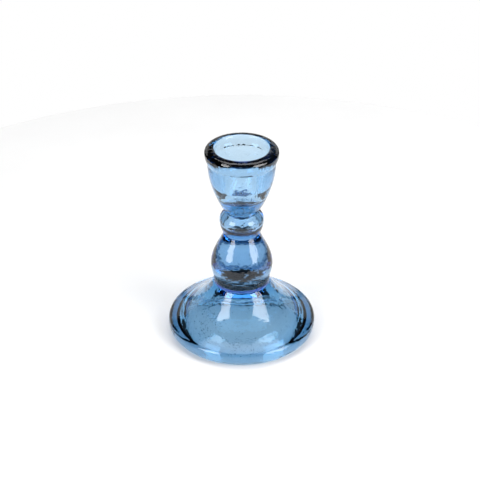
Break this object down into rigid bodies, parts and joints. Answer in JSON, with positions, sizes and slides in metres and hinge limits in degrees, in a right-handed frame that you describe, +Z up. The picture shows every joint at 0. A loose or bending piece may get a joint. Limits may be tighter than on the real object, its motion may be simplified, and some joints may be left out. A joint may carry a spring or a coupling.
{
  "type": "glass candlestick",
  "caption": "Low glass candlestick with a flared foot, a pear knop, a bead knop and a thick-lipped cup that seats a dinner candle.",
  "frame": {"origin": "centre of the flat ring that the foot stands on", "axes": "+Z up along the candlestick's axis; the piece is round, so X and Y are any two level directions"},
  "size_m": [0.091, 0.091, 0.1245],
  "materials": {
    "foot_glass": "fire-polished, seeded, mid blue",
    "pear_glass": "fire-polished, seeded, mid blue",
    "bead_glass": "fire-polished, seeded, mid blue",
    "cup_glass": "fire-polished, seeded, mid blue"
  },
  "bodies": {
    "root": {"foot": "foot_glass", "pear_knop": "pear_glass", "bead_knop": "bead_glass", "candle_cup": "cup_glass"}
  },
  "joints": []
}
